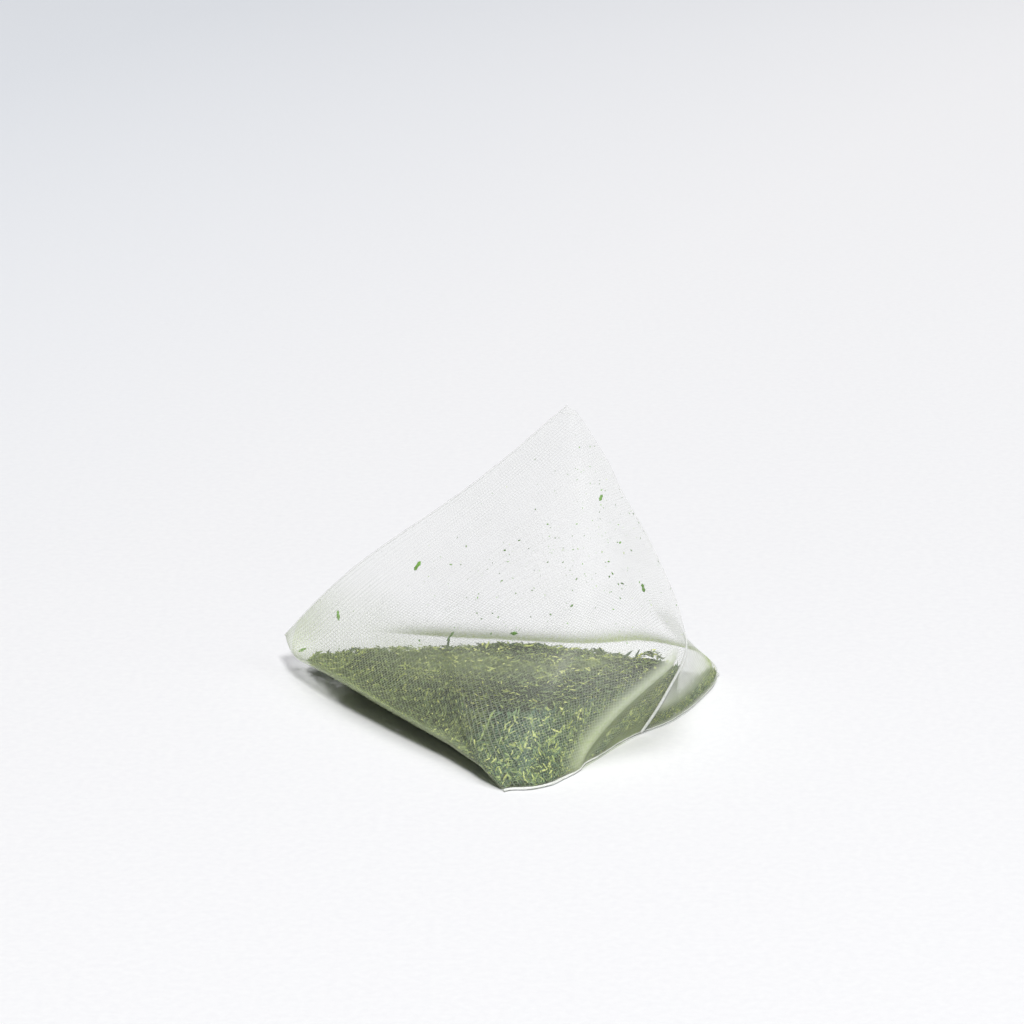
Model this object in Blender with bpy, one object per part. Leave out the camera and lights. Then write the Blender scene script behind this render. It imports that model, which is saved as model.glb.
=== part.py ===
"""Pyramid tea bag: a sachet folded from one woven mesh tube, closed by two
crossed end welds, with loose leaf inside.

Units are metres, +Z is up, the sachet stands on its triangular base at z = 0
and the origin is under the middle of its bounding box.
"""
import math

import bmesh
import bpy
import numpy as np
from mathutils import Vector
from mathutils.bvhtree import BVHTree

# ------------------------------------------------------------ dimensions ---
MM = 0.001
TUBE_WIDTH = 58.0          # flat width of the mesh tube (half its girth), mm
TUBE_LENGTH = 52.5         # from one end weld to the other, mm
APEX = (9.1, 6.8, 43.2)    # upper end of the upper weld
LEFT_CORNER = (-30.4, 25.3, 4.2)   # lower end of the upper weld, a little lifted
FRONT_CORNER = (0.5, -25.4, 0.2)   # near end of the base weld
REAR_CORNER = (30.6, 20.5, 0.2)    # far end of the base weld
JOINT_U = 0.53             # place of the lengthwise joint around the tube
# the lengthwise joint: places along the tube, and where it passes there
JOINT_V = (0.0, 0.085, 0.168, 0.243, 0.297, 0.356, 0.405, 0.543, 0.691, 0.826, 0.897,
           0.954, 1.0)
JOINT_PATH = ((19.0, -3.1, 0.2), (21.2, -3.6, 3.9), (23.1, -4.1, 7.7),
              (24.6, -4.8, 11.1), (24.9, -5.0, 13.8), (24.1, -4.0, 16.6),
              (23.4, -3.0, 18.8), (20.7, -0.1, 24.6), (17.2, 2.6, 30.8),
              (13.9, 4.7, 36.5), (12.2, 5.7, 39.5), (10.6, 6.4, 41.7),
              (8.9, 6.9, 43.2))
# the rear upper fold is drawn in towards the joint: along x, and up the face
FOLD_V = (0.0, 0.07, 0.12, 0.17, 0.22, 0.30, 0.40, 0.50, 0.70, 1.0)
FOLD_X = (0.0, -0.5, -1.3, -2.3, -3.4, -4.1, -4.0, -3.2, -1.4, 0.0)
FOLD_S = (0.0, -0.35, -0.9, -1.4, -1.0, -0.45, 0.05, 0.25, 0.35, 0.0)
# the base weld bows out over the table, in two soft lobes: place along it, bow
BOW_T = (0.0, 0.03, 0.09, 0.20, 0.30, 0.40, 0.46, 0.53, 0.62, 0.68, 0.74, 0.81, 0.90, 1.0)
BOW_N = (0.0, 2.0, 3.9, 4.1, 3.9, 3.5, 3.4, 3.7, 4.7, 4.5, 4.1, 3.3, 2.1, 0.0)
BOW_DIR = (0.844, -0.536, 0.0)
LOWER_BOW_FRONT = 3.0      # how far the left lower fold bows out
LOWER_BOW_BACK = 1.6       # how far the rear lower fold bows out
# how far the left lower fold stands off the table: place along the tube, height
ROLL_V = (0.0, 0.05, 0.2, 0.45, 0.7, 0.88, 0.95, 1.0)
ROLL_Z = (0.0, 0.4, 1.3, 2.3, 2.8, 2.3, 1.4, 0.0)
# the crest of the leaf heap, from the left corner to the joint
CREST_X = (-30.0, -27, -24, -21, -18, -12, -6, 0, 4, 8, 12, 16, 19, 22, 24.5, 28)
CREST_Y = (24.0, 22, 20, 17.5, 15, 11.5, 9, 7, 6, 5, 4, 2.5, 1.5, 0.5, -1, -3)
CREST_Z = (0.8, 1.2, 3.3, 4.8, 5.8, 7.1, 8.2, 9.1, 9.5, 9.4, 9.3, 9.2, 9.2, 9.2, 8.9, 7.4)
DRIFT_DEPTH = 3.1          # height of the leaf drifted along the weld in the rear pocket
WALL = 0.12                # mesh thickness
WELD_BEAD = 0.30           # thickness of the pressed weld
PORE = 0.35                # open pore of the weave, side
GAP = 0.35                 # clearance between mesh and leaf

N_AROUND = 56              # points around the tube
N_ALONG = 22               # rings from weld to weld

LEAF_FLOOR = 0.55          # underside of the leaf, above the table


def lerp(a, b, t):
    return a + (b - a) * t


def tube_point(u, v):
    """Point on the flat-faced sachet: u runs round the tube (0..2), v along it
    (0 at the base weld, 1 at the upper weld). Four straight fold lines join the
    corners, and the tube wall is straight between them."""
    a, l, f, r = (np.array(p) for p in (APEX, LEFT_CORNER, FRONT_CORNER, REAR_CORNER))
    h = v / 2.0
    fa, ra, rl, fl = lerp(f, a, v), lerp(r, a, v), lerp(r, l, v), lerp(f, l, v)
    lift = max(0.0, (v - 0.86) / 0.14) ** 2 * l[2]
    rl[2] = fl[2] = 0.06 + lift
    u = u % 2.0
    if u > 2.0 - h:
        u -= 2.0
    for ua, pa, ub, pb in ((-h, fl, h, fa), (h, fa, 1 - h, ra),
                           (1 - h, ra, 1 + h, rl), (1 + h, rl, 2 - h, fl)):
        if u <= ub or ub == 2 - h:
            t = (u - ua) / (ub - ua) if ub - ua > 1e-9 else 0.5
            return lerp(pa, pb, min(max(t, 0.0), 1.0))


def smooth(a, b, x):
    t = np.clip((x - a) / (b - a), 0, 1)
    return t * t * (3 - 2 * t)


def eased(x, xs, ys, soft):
    """Value on a chain of straight runs, averaged over a short window."""
    d = np.linspace(-1, 1, 9) * soft * max(min(1.0, x / soft, (1 - x) / soft), 0.0)
    return sum(np.interp(x + q, xs, ys) for q in d) / 9.0


def joint_point(v):
    """The lengthwise joint, from the base weld round its bend to the apex."""
    path = np.array(JOINT_PATH)
    return np.array([eased(v, JOINT_V, path[:, c], 0.03) for c in range(3)])


def rear_fold_point(v):
    """The rear upper fold, from the rear corner to the apex."""
    p = lerp(np.array(REAR_CORNER), np.array(APEX), v)
    return (p + np.array((1.0, 0, 0)) * eased(v, FOLD_V, FOLD_X, 0.04)
            + np.array((0, 0.292, 0.956)) * eased(v, FOLD_V, FOLD_S, 0.04))


def ring(v, n=N_AROUND):
    """One closed ring of the tube, rounded at its folds and as long as the
    tube's own girth."""
    us = np.arange(n) / n * 2.0
    sv = max(0.0, math.sin(math.pi * v))
    spread = 0.004 + 0.123 * sv ** 0.6
    pts = np.zeros((n, 3))
    for i, u in enumerate(us):
        for k in range(-6, 7):
            pts[i] += tube_point(u + spread * k / 6.0, v) / 13.0
    # the base weld bows out along the table
    along = np.clip(np.where(us > 1, 2 - us, us), 0, 1)
    bow = sum(np.interp(np.clip(along + q, 0, 1), BOW_T, BOW_N)
              for q in np.linspace(-0.03, 0.03, 7)) / 7
    bow = bow * smooth(0, 0.05, along) * smooth(0, 0.05, 1 - along)
    pts += np.outer(bow * (1 - v) ** 1.6, BOW_DIR)
    # the two lower folds bow out under the weight of the leaf
    belly = sv ** 0.8
    for fold, amount, way in ((2 - v / 2, LOWER_BOW_FRONT, (-0.855, -0.519, 0.0)),
                              (1 + v / 2, LOWER_BOW_BACK, (-0.05, 0.999, 0.0))):
        d = (us - fold + 1.0) % 2.0 - 1.0
        pts += np.outer(amount * belly * np.exp(-(d / 0.22) ** 2), way)
    # the joint and the rear fold hold their own paths and draw the wall with them
    rear = 1 - v / 2
    here = np.array([np.interp(JOINT_U, us, pts[:, c]) for c in range(3)])
    there = np.array([np.interp(rear, us, pts[:, c]) for c in range(3)])
    w = max(rear - JOINT_U, 0.10)
    dj = np.where(us < JOINT_U, (JOINT_U - us) / 0.46, (us - JOINT_U) / w)
    df = np.where(us < rear, (rear - us) / w, (us - rear) / 0.30)
    dj, df = np.clip(dj, 0, 1), np.clip(df, 0, 1)
    pull = np.where(us < JOINT_U, np.cos(np.pi / 2 * dj) ** 2, 1 - dj)
    draw = np.where(us < rear, 1 - df, np.cos(np.pi / 2 * df) ** 2)
    hold = 1 - float(smooth(0.95, 1.0, v))
    fade = 1 - float(smooth(0.74, 0.90, v))
    pts = (pts + np.outer(pull * hold, joint_point(v) - here)
           + np.outer(draw * fade, rear_fold_point(v) - there))
    # the wall swells until the ring has the girth of the tube
    mid = pts.mean(axis=0)
    girth = np.linalg.norm(np.roll(pts, -1, axis=0) - pts, axis=1).sum()
    swell = min(max(1 + (2 * TUBE_WIDTH / girth - 1) * 0.9, 1.0), 1.10) - 1
    keep = np.clip(1 - np.exp(-((us - JOINT_U) / 0.16) ** 2)
                   - np.exp(-((us - rear) / 0.16) ** 2), 0, 1)
    pts = mid + (pts - mid) * (1 + swell * sv ** 0.5 * keep)[:, None]
    # the upper weld dips near the top and arches near the left corner
    t = np.abs(np.where(us < 0.5, 0.5 - us, np.where(us > 1.5, 2.5 - us, us - 0.5)))
    t = np.pi * np.clip(t, 0, 1)
    arch = (0.54 * np.sin(t) - 0.79 * np.sin(2 * t) + 0.12 * np.sin(3 * t)) * v ** 3
    pts += np.outer(arch, (-0.35, 0.10, 0.93))
    # the left lower fold rolls over the table without touching it
    d = (us - (2 - v / 2 + 0.004) + 1.0) % 2.0 - 1.0
    rise = float(eased(v, ROLL_V, ROLL_Z, 0.05))
    roll = rise * np.exp(-(d / np.where(d < 0, 0.085, 0.055)) ** 2)
    pts += np.outer(roll, (-0.80, -0.48, 0.0))
    # flat where it rests
    low = 0.06 + 0.12 * math.exp(-((v / 0.02) ** 2))
    pts[:, 2] = np.maximum(pts[:, 2], low) + roll
    return pts


def grid_of_rings():
    """Ring places along the tube, closer together at the two welds."""
    vs = []
    for j in range(N_ALONG + 1):
        t = j / N_ALONG
        vs.append(t - 0.6 * math.sin(2 * math.pi * t) / (2 * math.pi))
    return vs, np.array([ring(v) for v in vs])


def wall_normals(g):
    """Outward normals of a grid of rings."""
    du = np.roll(g, -1, axis=1) - np.roll(g, 1, axis=1)
    dv = np.empty_like(g)
    dv[1:-1] = g[2:] - g[:-2]
    dv[0] = g[2] - g[0]
    dv[-1] = g[-1] - g[-3]
    n = np.cross(du, dv)
    n /= np.maximum(np.linalg.norm(n, axis=2, keepdims=True), 1e-9)
    return n


def material(name, colour, roughness, metallic=0.0):
    mat = bpy.data.materials.new(name)
    mat.use_nodes = True
    shader = mat.node_tree.nodes["Principled BSDF"]
    shader.inputs["Base Color"].default_value = (*colour, 1.0)
    shader.inputs["Roughness"].default_value = roughness
    shader.inputs["Metallic"].default_value = metallic
    mat.diffuse_color = (*colour, 1.0)
    return mat


def add_object(name, bm, mat, smooth=True):
    bmesh.ops.recalc_face_normals(bm, faces=bm.faces)
    bmesh.ops.triangulate(bm, faces=bm.faces)
    if bm.calc_volume(signed=True) < 0:
        bmesh.ops.reverse_faces(bm, faces=bm.faces)
    mesh = bpy.data.meshes.new(name)
    bm.to_mesh(mesh)
    bm.free()
    obj = bpy.data.objects.new(name, mesh)
    bpy.context.scene.collection.objects.link(obj)
    mesh.materials.append(mat)
    if smooth:
        mesh.shade_smooth()
        mesh.set_sharp_from_angle(angle=math.radians(50))
    return obj


def cap_ring(bm, loop, pivot):
    """Close a flattened ring across its two layers, starting at a fold."""
    n = len(loop)
    for k in range(n // 2):
        a, b = loop[(pivot + k) % n], loop[(pivot + k + 1) % n]
        c, d = loop[(pivot - k - 1) % n], loop[(pivot - k) % n]
        quad = []
        for vert in (a, b, c, d):
            if vert not in quad:
                quad.append(vert)
        bm.faces.new(quad)


def build_mesh_bag():
    vs, g = grid_of_rings()
    nrm = wall_normals(g)
    rings, n = g.shape[0], g.shape[1]
    bm = bmesh.new()

    def layer(points, js):
        out = {}
        for j in js:
            out[j] = [bm.verts.new(Vector(points[j, i]) * MM) for i in range(n)]
        return out

    half = np.full(rings, WALL / 2)
    half[0] = half[-1] = WELD_BEAD / 2
    outer_pts = g + nrm * half[:, None, None]
    # the base lies truly flat, out to where the folds leave the table
    outer_pts[..., 2] = np.where(outer_pts[..., 2] < 0.045, 0.0, outer_pts[..., 2])
    inner_pts = g - nrm * (WALL / 2)
    inner_pts[..., 2] = np.maximum(inner_pts[..., 2], WALL)
    outer = layer(outer_pts, range(rings))
    inner = layer(inner_pts, range(1, rings - 1))

    # open pores: a small square hole through the wall in chosen cells
    pores = {(j, i) for j in range(6, rings - 6, 3) for i in range(4, n, 9)
             if g[j, i, 2] > 8.0}

    def wall(layer_verts, js, flip):
        holes = {}
        for j in js:
            for i in range(n):
                k = (i + 1) % n
                quad = [layer_verts[j][i], layer_verts[j][k],
                        layer_verts[j + 1][k], layer_verts[j + 1][i]]
                if (j, i) in pores:
                    mid = sum((q.co for q in quad), Vector()) / 4
                    span = (quad[0].co - quad[2].co).length
                    rim = [bm.verts.new(mid + (q.co - mid) * (PORE * MM * 1.4142 / span))
                           for q in quad]
                    for s in range(4):
                        t = (s + 1) % 4
                        bm.faces.new([quad[s], quad[t], rim[t], rim[s]])
                    holes[(j, i)] = rim
                else:
                    bm.faces.new(quad if not flip else quad[::-1])
        return holes

    outer_rims = wall(outer, range(rings - 1), False)
    inner_rims = wall(inner, range(1, rings - 2), True)
    for key, rim in outer_rims.items():
        back = inner_rims[key]
        for s in range(4):
            t = (s + 1) % 4
            bm.faces.new([rim[s], rim[t], back[t], back[s]])
    cap_ring(bm, outer[0], 0)
    cap_ring(bm, outer[rings - 1], n // 4)
    cap_ring(bm, inner[1], 0)
    cap_ring(bm, inner[rings - 2], n // 4)
    mat = material("woven_mesh_white", (0.86, 0.88, 0.86), 0.45)
    add_object("mesh_bag", bm, mat)
    return g, nrm


def inner_wall_tree(g, nrm):
    pts = g - nrm * (WALL / 2)
    pts[..., 2] = np.maximum(pts[..., 2], WALL)
    rings, n = g.shape[0], g.shape[1]
    verts = [Vector(p) for p in pts.reshape(-1, 3)]
    faces = []
    for j in range(1, rings - 2):
        for i in range(n):
            k = (i + 1) % n
            faces.append((j * n + i, j * n + k, (j + 1) * n + k, (j + 1) * n + i))
    for j, pivot in ((1, 0), (rings - 2, n // 4)):
        for k in range(n // 2):
            faces.append(tuple(j * n + q % n for q in
                               (pivot + k, pivot + k + 1, pivot - k - 1, pivot - k)))
    return BVHTree.FromPolygons(verts, faces)


def leaf_top(x, y):
    """Height of the leaf heap: a crest from the left corner to the joint, a level
    top in front of it and a slope down to the back, with a broken surface."""
    d = y - float(np.interp(x, CREST_X, CREST_Y))
    back = 0.46 * (math.sqrt(max(d, 0) ** 2 + 4.0) - 2.0)
    front = 0.012 * max(-d, 0) ** 1.4
    z = float(np.interp(x, CREST_X, CREST_Z)) - back - front
    # the pocket behind the joint is nearly empty: a low drift lies along the weld
    pocket = float(smooth(0.8, 5.0, (x - 22.5) * 0.8 + (y + 4.0) * 0.6))
    drift = DRIFT_DEPTH * (1 - float(smooth(1.0, 5.0, (y + 3.5) * 0.44 - (x - 21.5) * 0.90)))
    z += (min(z, drift) - z) * pocket
    z += 0.16 * math.sin(1.7 * x + 0.6 * y) * math.cos(1.1 * y - 0.5 * x)
    return max(z, 1.2)


def build_leaf_fill(tree):
    cx, cy = 1.5, 6.5
    n_theta, n_side, n_disc = 60, 5, 7
    bm = bmesh.new()

    def wall_at(theta, z):
        d = Vector((math.cos(theta), math.sin(theta), 0.0))
        hit, normal, _, dist = tree.ray_cast(Vector((cx, cy, z)), d)
        if hit is None:
            return 4.0
        slope = max(abs(normal.dot(d)), 0.22)
        # stay out of the narrow tips of the corners
        return max(min(dist - GAP / slope, dist * 0.96), 2.0)

    edge = []
    for i in range(n_theta):
        th = 2 * math.pi * i / n_theta
        top = 3.0
        for _ in range(12):
            r = wall_at(th, top)
            want = leaf_top(cx + r * math.cos(th), cy + r * math.sin(th))
            top += (want - top) * 0.6
        edge.append((th, top))

    def put(x, y, z):
        return bm.verts.new(Vector((x, y, z)) * MM)

    # lower disc, side rings, upper disc
    loops = []
    radius = {}
    for s in range(n_side + 1):
        loop = []
        for i, (th, top) in enumerate(edge):
            z = LEAF_FLOOR + (top - LEAF_FLOOR) * s / n_side
            r = wall_at(th, z)
            if s == 0:
                r *= 0.985
            if s == n_side:
                radius[i] = r
            loop.append((cx + r * math.cos(th), cy + r * math.sin(th), z))
        loops.append(loop)
    lower = []
    for k in range(1, 4):
        lower.append([(cx + (x - cx) * k / 4, cy + (y - cy) * k / 4, LEAF_FLOOR)
                      for x, y, _ in loops[0]])
    upper = []
    for k in range(n_disc - 1, 0, -1):
        t = k / n_disc
        ringp = []
        for i, (x, y, z) in enumerate(loops[-1]):
            px, py = cx + (x - cx) * t, cy + (y - cy) * t
            blend = t ** 6
            ringp.append((px, py, leaf_top(px, py) * (1 - blend) + z * blend))
        upper.append(ringp)
    rows = [[put(*p) for p in loop] for loop in lower + loops + upper]
    bottom = put(cx, cy, LEAF_FLOOR)
    crown = put(cx, cy, leaf_top(cx, cy))
    for a, b in zip(rows, rows[1:]):
        for i in range(n_theta):
            k = (i + 1) % n_theta
            bm.faces.new([a[i], a[k], b[k], b[i]])
    for i in range(n_theta):
        k = (i + 1) % n_theta
        bm.faces.new([rows[0][k], rows[0][i], bottom])
        bm.faces.new([rows[-1][i], rows[-1][k], crown])
    add_object("tea_leaf_fill", bm, material("dried_green_leaf", (0.16, 0.20, 0.10), 0.85))


# fragments that cling to the inside of the mesh:
# name, place around (u), place along (v), length, width, turn in degrees, bend, colour
FRAGMENTS = (
    ("leaf_bit_bright", 1.953, 0.915, 1.5, 0.85, 20, 0.10, (0.16, 0.33, 0.07)),
    ("leaf_bit_left_edge", 1.692, 0.945, 1.4, 0.70, 75, 0.08, (0.20, 0.34, 0.10)),
    ("leaf_bit_corner", 1.585, 0.925, 1.1, 0.65, 10, 0.06, (0.18, 0.27, 0.09)),
    ("stem_sliver", 1.992, 0.611, 1.5, 0.45, 20, 0.08, (0.30, 0.34, 0.14)),
    ("leaf_bit_middle", 0.131, 0.487, 1.2, 0.60, -30, 0.08, (0.17, 0.24, 0.09)),
    ("leaf_bit_upper", 0.458, 0.734, 1.0, 0.55, 35, 0.06, (0.20, 0.28, 0.12)),
    ("leaf_bit_right", 0.453, 0.469, 1.1, 0.60, 80, 0.06, (0.16, 0.22, 0.10)),
)
FRAGMENT_THICKNESS = 0.22


def build_fragments():
    def wall_point(u, v):
        n = N_AROUND * 2
        pts = ring(v, n)
        x = (u % 2.0) / 2 * n
        i = int(math.floor(x)) % n
        t = x - math.floor(x)
        return pts[i] * (1 - t) + pts[(i + 1) % n] * t

    for name, u, v, length, width, turn, bend, colour in FRAGMENTS:
        p = wall_point(u, v)
        across = wall_point(u + 0.01, v) - wall_point(u - 0.01, v)
        along = wall_point(u, v + 0.01) - wall_point(u, v - 0.01)
        across /= np.linalg.norm(across)
        out = np.cross(across, along)
        out /= np.linalg.norm(out)
        along = np.cross(out, across)
        c, s = math.cos(math.radians(turn)), math.sin(math.radians(turn))
        ex = across * c + along * s
        ey = along * c - across * s
        mid = p - out * (WALL / 2 + GAP + FRAGMENT_THICKNESS / 2 + bend)
        bm = bmesh.new()
        bmesh.ops.create_uvsphere(bm, u_segments=12, v_segments=8, radius=1.0)
        for vert in bm.verts:
            x, y, z = vert.co
            taper = 1.0 - 0.35 * x
            lx = x * length / 2
            ly = y * width / 2 * taper
            lz = z * FRAGMENT_THICKNESS / 2 - bend * x * x
            q = mid + ex * lx + ey * ly + out * lz
            vert.co = Vector(q) * MM
        add_object(name, bm, material(name + "_leaf", colour, 0.8))


def main():
    for obj in list(bpy.data.objects):
        bpy.data.objects.remove(obj, do_unlink=True)
    g, nrm = build_mesh_bag()
    build_leaf_fill(inner_wall_tree(g, nrm))
    build_fragments()


main()
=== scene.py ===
"""Pyramid tea bag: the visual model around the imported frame."""
import math

import bmesh
import bpy
import numpy as np
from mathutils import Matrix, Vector
from mathutils.bvhtree import BVHTree


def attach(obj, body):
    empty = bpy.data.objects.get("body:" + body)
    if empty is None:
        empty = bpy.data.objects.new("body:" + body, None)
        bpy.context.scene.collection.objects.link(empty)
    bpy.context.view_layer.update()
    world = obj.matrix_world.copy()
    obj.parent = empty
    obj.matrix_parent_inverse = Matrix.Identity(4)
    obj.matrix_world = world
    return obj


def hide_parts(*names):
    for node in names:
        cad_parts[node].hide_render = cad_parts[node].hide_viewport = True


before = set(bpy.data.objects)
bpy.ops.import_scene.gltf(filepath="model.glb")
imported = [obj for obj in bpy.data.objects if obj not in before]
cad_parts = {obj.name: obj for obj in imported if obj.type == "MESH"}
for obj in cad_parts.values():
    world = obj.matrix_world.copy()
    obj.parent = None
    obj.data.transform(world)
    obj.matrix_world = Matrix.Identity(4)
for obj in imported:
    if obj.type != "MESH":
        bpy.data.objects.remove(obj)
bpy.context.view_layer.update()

MM = 0.001
RNG = np.random.RandomState(20459)

# ---------------------------------------------------------------- shape ---
TUBE_WIDTH = 58.0
TUBE_LENGTH = 52.5
APEX = np.array((9.1, 6.8, 43.3))
LEFT = np.array((-30.5, 25.4, 4.3))
FRONT = np.array((0.5, -25.5, 0.25))
REAR = np.array((30.7, 20.6, 0.25))
JOINT_U = 0.53
# the lengthwise joint: places along the tube and where it passes there
JOINT_V = (0.0, 0.085, 0.168, 0.243, 0.297, 0.356, 0.405, 0.543, 0.691, 0.826, 0.897,
           0.954, 1.0)
JOINT_PATH = np.array(((19.0, -3.1, 0.25), (21.2, -3.6, 3.9), (23.1, -4.1, 7.7),
                       (24.7, -4.8, 11.1), (25.0, -5.0, 13.8), (24.2, -4.0, 16.6),
                       (23.5, -3.0, 18.8), (20.8, -0.1, 24.6), (17.3, 2.6, 30.8),
                       (14.0, 4.7, 36.5), (12.3, 5.7, 39.5), (10.7, 6.4, 41.8),
                       (8.9, 6.9, 43.3)))
# the rear upper fold is drawn in towards the joint: along x, and up the face
FOLD_V = (0.0, 0.07, 0.12, 0.17, 0.22, 0.30, 0.40, 0.50, 0.70, 1.0)
FOLD_X = (0.0, -0.5, -1.3, -2.3, -3.4, -4.1, -4.0, -3.2, -1.4, 0.0)
FOLD_S = (0.0, -0.35, -0.9, -1.4, -1.0, -0.45, 0.05, 0.25, 0.35, 0.0)
# the base weld bows out over the table, in two soft lobes
BOW_T = (0.0, 0.03, 0.09, 0.20, 0.30, 0.40, 0.46, 0.53, 0.62, 0.68, 0.74, 0.81, 0.90, 1.0)
BOW_N = (0.0, 2.0, 3.9, 4.1, 3.9, 3.5, 3.4, 3.7, 4.7, 4.5, 4.1, 3.3, 2.1, 0.0)
BOW_DIR = np.array((0.844, -0.536, 0.0))
# how far the left lower fold stands off the table
ROLL_V = (0.0, 0.05, 0.2, 0.45, 0.7, 0.88, 0.95, 1.0)
ROLL_Z = (0.0, 0.4, 1.3, 2.3, 2.8, 2.3, 1.4, 0.0)
# the crest of the leaf heap
CREST_X = (-30.0, -27, -24, -21, -18, -12, -6, 0, 4, 8, 12, 16, 18, 20.4, 21.8, 22.4,
           24.5, 28)
CREST_Y = (24.0, 22, 20, 17.5, 15, 11.5, 9, 7, 6, 5, 4, 2.5, 1.8, 1.0, 0.6, 0.4, -1, -3)
CREST_Z = (0.8, 1.2, 3.3, 4.8, 5.8, 7.1, 8.2, 9.1, 9.5, 9.4, 9.3, 9.2, 9.0, 10.3, 10.3, 9.6,
           9.3, 7.4)
NU, NV = 360, 150


def lerp(a, b, t):
    return a + (b - a) * t


def smooth(a, b, x):
    t = np.clip((x - a) / (b - a), 0, 1)
    return t * t * (3 - 2 * t)


def raw(u, v):
    """The flat-faced sachet at one place along the tube."""
    h = v / 2.0
    fa, ra = lerp(FRONT, APEX, v), lerp(REAR, APEX, v)
    rl, fl = lerp(REAR, LEFT, v), lerp(FRONT, LEFT, v)
    lift = max(0.0, (v - 0.86) / 0.14) ** 2 * LEFT[2]
    rl[2] = fl[2] = 0.06 + lift
    u = np.mod(u, 2.0)
    u = np.where(u > 2 - h, u - 2, u)
    ks = np.array([-h, h + 1e-9, 1 - h, 1 + h + 1e-9, 2 - h + 2e-9])
    ps = np.array([fl, fa, ra, rl, fl])
    return np.stack([np.interp(u, ks, ps[:, c]) for c in range(3)], -1)


def eased(x, xs, ys, soft):
    """Value on a chain of straight runs, averaged over a short window."""
    d = np.linspace(-1, 1, 9) * soft * max(min(1.0, x / soft, (1 - x) / soft), 0.0)
    return sum(np.interp(x + q, xs, ys) for q in d) / 9.0


def joint_point(v):
    return np.array([eased(v, JOINT_V, JOINT_PATH[:, c], 0.03) for c in range(3)])


def rear_fold_point(v):
    p = lerp(REAR, APEX, v)
    return (p + np.array((1.0, 0, 0)) * eased(v, FOLD_V, FOLD_X, 0.04)
            + np.array((0, 0.292, 0.956)) * eased(v, FOLD_V, FOLD_S, 0.04))


def fold_gap(us, fold):
    return (us - fold + 1.0) % 2.0 - 1.0


def ring(v, us):
    sv = max(0.0, math.sin(math.pi * v))
    # the folds stay sharp close to the apex
    sharp = float(smooth(0.82, 0.97, v)) * np.exp(-((us - 0.5) / 0.2) ** 2)
    spread = 0.004 + 0.123 * sv ** 0.6 * (1 - 0.85 * sharp)
    pts = 0
    for k in range(-6, 7):
        pts = pts + raw(us + spread * k / 6.0, v) / 13.0
    along = np.clip(np.where(us > 1, 2 - us, us), 0, 1)
    bow = sum(np.interp(np.clip(along + q, 0, 1), BOW_T, BOW_N)
              for q in np.linspace(-0.03, 0.03, 7)) / 7
    bow = bow * smooth(0, 0.05, along) * smooth(0, 0.05, 1 - along)
    pts = pts + np.outer(bow * (1 - v) ** 1.6, BOW_DIR)
    belly = sv ** 0.8
    for fold, amount, way in ((2 - v / 2, 3.0, (-0.855, -0.519, 0.0)),
                              (1 + v / 2, 1.6, (-0.05, 0.999, 0.0))):
        d = fold_gap(us, fold)
        pts = pts + np.outer(amount * belly * np.exp(-(d / 0.22) ** 2), way)
    # the joint and the rear fold hold their own paths and draw the wall with them
    rear = 1 - v / 2
    here = np.array([np.interp(JOINT_U, us, pts[:, c]) for c in range(3)])
    there = np.array([np.interp(rear, us, pts[:, c]) for c in range(3)])
    w = max(rear - JOINT_U, 0.10)
    dj = np.where(us < JOINT_U, (JOINT_U - us) / 0.46, (us - JOINT_U) / w)
    df = np.where(us < rear, (rear - us) / w, (us - rear) / 0.30)
    dj, df = np.clip(dj, 0, 1), np.clip(df, 0, 1)
    pull = np.where(us < JOINT_U, np.cos(np.pi / 2 * dj) ** 2, 1 - dj)
    draw = np.where(us < rear, 1 - df, np.cos(np.pi / 2 * df) ** 2)
    hold = 1 - float(smooth(0.95, 1.0, v))
    fade = 1 - float(smooth(0.74, 0.90, v))
    pts = (pts + np.outer(pull * hold, joint_point(v) - here)
           + np.outer(draw * fade, rear_fold_point(v) - there))
    mid = pts.mean(axis=0)
    girth = np.linalg.norm(np.roll(pts, -1, axis=0) - pts, axis=1).sum()
    swell = min(max(1 + (2 * TUBE_WIDTH / girth - 1) * 0.9, 1.0), 1.10) - 1
    keep = np.clip(1 - np.exp(-((us - JOINT_U) / 0.16) ** 2)
                   - np.exp(-((us - rear) / 0.16) ** 2), 0, 1)
    pts = mid + (pts - mid) * (1 + swell * sv ** 0.5 * keep)[:, None]
    # the upper weld dips near the top and arches near the left corner
    t = np.abs(np.where(us < 0.5, 0.5 - us, np.where(us > 1.5, 2.5 - us, us - 0.5)))
    t = np.pi * np.clip(t, 0, 1)
    arch = (0.54 * np.sin(t) - 0.79 * np.sin(2 * t) + 0.12 * np.sin(3 * t)) * v ** 3
    pts = pts + np.outer(arch, (-0.35, 0.10, 0.93))
    # the left lower fold rolls over the table without touching it
    d = fold_gap(us, 2 - v / 2 + 0.004)
    rise = float(eased(v, ROLL_V, ROLL_Z, 0.05))
    roll = rise * np.exp(-(d / np.where(d < 0, 0.085, 0.055)) ** 2)
    pts = pts + np.outer(roll, (-0.80, -0.48, 0.0))
    low = 0.06 + 0.12 * math.exp(-((v / 0.02) ** 2))
    pts[:, 2] = np.maximum(pts[:, 2], low) + roll
    return pts


US = np.arange(NU) / NU * 2.0
VS = np.array([t - 0.35 * math.sin(2 * math.pi * t) / (2 * math.pi)
               for t in np.linspace(0, 1, NV + 1)])
GRID = np.array([ring(v, US) for v in VS])


def grid_normals(g):
    du = np.roll(g, -1, axis=1) - np.roll(g, 1, axis=1)
    dv = np.empty_like(g)
    dv[1:-1] = g[2:] - g[:-2]
    dv[0] = g[1] - g[0]
    dv[-1] = g[-1] - g[-2]
    n = np.cross(du, dv)
    return n / np.maximum(np.linalg.norm(n, axis=2, keepdims=True), 1e-9)


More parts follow.
